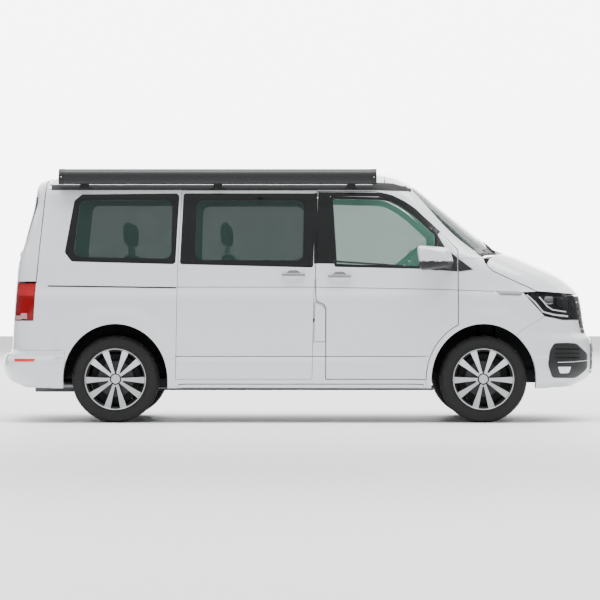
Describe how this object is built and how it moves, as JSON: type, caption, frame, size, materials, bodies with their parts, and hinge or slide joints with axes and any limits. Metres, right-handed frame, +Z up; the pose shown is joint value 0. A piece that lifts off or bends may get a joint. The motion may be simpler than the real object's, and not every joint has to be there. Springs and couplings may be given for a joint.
{
  "type": "camper van",
  "caption": "Short panel-bodied camper van with a hinged pop-top roof, side awning case, swinging doors, steered front wheels and three rows of seats.",
  "frame": {"origin": "on the ground under the middle of the van, halfway between the axles", "axes": "+X forward, +Y to the van's left, +Z up"},
  "size_m": [4.8985, 2.2814, 2.072],
  "materials": {
    "white_paint": "gloss",
    "tinted_glass": "polished",
    "awning_grey": "satin",
    "black_plastic": "grained",
    "trim_plastic": "grained",
    "lamp_clear": "clear",
    "lamp_red": "clear",
    "seat_cloth": "woven",
    "floor_paint": "satin",
    "chassis_steel": "satin",
    "cast_metal": "as cast",
    "exhaust_steel": "satin",
    "tyre": "matte",
    "alloy": "machined"
  },
  "bodies": {
    "shell": {"floor_pan": "floor_paint", "body_side_right": "white_paint", "body_side_left": "white_paint", "roof_frame": "white_paint", "sliding_door": "white_paint", "front_wings": "white_paint", "front_bumper": "white_paint", "rear_bumper": "white_paint", "grille": "black_plastic", "headlamps": "lamp_clear", "tail_lamps": "lamp_red", "windscreen": "tinted_glass", "side_glass": "tinted_glass", "bulkhead": "floor_paint", "dashboard": "trim_plastic", "front_seats": "seat_cloth", "middle_seats": "seat_cloth", "rear_bench": "seat_cloth", "engine_block": "cast_metal", "front_subframe": "chassis_steel", "rear_axle": "chassis_steel", "fuel_tank": "black_plastic", "exhaust": "exhaust_steel", "hinge_brackets": "chassis_steel", "awning": "awning_grey"},
    "front_door_right": {"front_door_right": "white_paint", "door_glass_right": "tinted_glass", "mirror_right": "black_plastic"},
    "front_door_left": {"front_door_left": "white_paint", "door_glass_left": "tinted_glass", "mirror_left": "black_plastic"},
    "tailgate": {"tailgate": "white_paint", "tailgate_glass": "tinted_glass"},
    "bonnet": {"bonnet": "white_paint"},
    "pop_top": {"pop_top_roof": "white_paint"},
    "fuel_flap": {"fuel_flap": "white_paint"},
    "steering_wheel": {"steering_wheel": "black_plastic"},
    "knuckle_right": {"knuckle_right": "cast_metal"},
    "knuckle_left": {"knuckle_left": "cast_metal"},
    "wheel_front_right": {"tyre_front_right": "tyre", "rim_front_right": "alloy"},
    "wheel_front_left": {"tyre_front_left": "tyre", "rim_front_left": "alloy"},
    "wheel_rear_right": {"tyre_rear_right": "tyre", "rim_rear_right": "alloy"},
    "wheel_rear_left": {"tyre_rear_left": "tyre", "rim_rear_left": "alloy"}
  },
  "joints": [
    {"name": "steer_left", "type": "hinge", "parent": "shell", "child": "knuckle_left", "pos_m": [1.5, 0.722, 0.355], "axis": [0, 0, 1], "range_deg": [-35, 35]},
    {"name": "steer_right", "type": "hinge", "parent": "shell", "child": "knuckle_right", "pos_m": [1.5, -0.722, 0.355], "axis": [0, 0, 1], "range_deg": [-35, 35]},
    {"name": "steering_wheel_turn", "type": "hinge", "parent": "shell", "child": "steering_wheel", "pos_m": [0.895, 0.4, 1.345], "axis": [-0.6293, 0, 0.7771], "range_deg": [-525, 525]},
    {"name": "wheel_front_left_spin", "type": "hinge", "parent": "knuckle_left", "child": "wheel_front_left", "pos_m": [1.5, 0.806, 0.355], "axis": [0, 1, 0], "continuous": true},
    {"name": "wheel_front_right_spin", "type": "hinge", "parent": "knuckle_right", "child": "wheel_front_right", "pos_m": [1.5, -0.806, 0.355], "axis": [0, 1, 0], "continuous": true},
    {"name": "wheel_rear_left_spin", "type": "hinge", "parent": "shell", "child": "wheel_rear_left", "pos_m": [-1.5, 0.806, 0.355], "axis": [0, 1, 0], "continuous": true},
    {"name": "wheel_rear_right_spin", "type": "hinge", "parent": "shell", "child": "wheel_rear_right", "pos_m": [-1.5, -0.806, 0.355], "axis": [0, 1, 0], "continuous": true},
    {"name": "front_door_right_swing", "type": "hinge", "parent": "shell", "child": "front_door_right", "pos_m": [1.292, -0.956, 1], "axis": [0, 0, 1], "range_deg": [0, 68]},
    {"name": "front_door_left_swing", "type": "hinge", "parent": "shell", "child": "front_door_left", "pos_m": [1.292, 0.956, 1], "axis": [0, 0, -1], "range_deg": [0, 68]},
    {"name": "tailgate_lift", "type": "hinge", "parent": "shell", "child": "tailgate", "pos_m": [-2.048, 0, 2.021], "axis": [0, 1, 0], "range_deg": [0, 85]},
    {"name": "bonnet_lift", "type": "hinge", "parent": "shell", "child": "bonnet", "pos_m": [1.506, 0, 1.362], "axis": [0, -1, 0], "range_deg": [0, 50]},
    {"name": "pop_top_lift", "type": "hinge", "parent": "shell", "child": "pop_top", "pos_m": [-2.032, 0, 1.944], "axis": [0, -1, 0], "range_deg": [0, 20]},
    {"name": "fuel_flap_swing", "type": "hinge", "parent": "shell", "child": "fuel_flap", "pos_m": [0.117, -0.955, 0.82], "axis": [0, 0, -1], "range_deg": [0, 85]}
  ],
  "couplings": [
    {"joint": "steer_right", "follows": "steer_left", "ratio": 1},
    {"joint": "steering_wheel_turn", "follows": "steer_left", "ratio": 15}
  ]
}
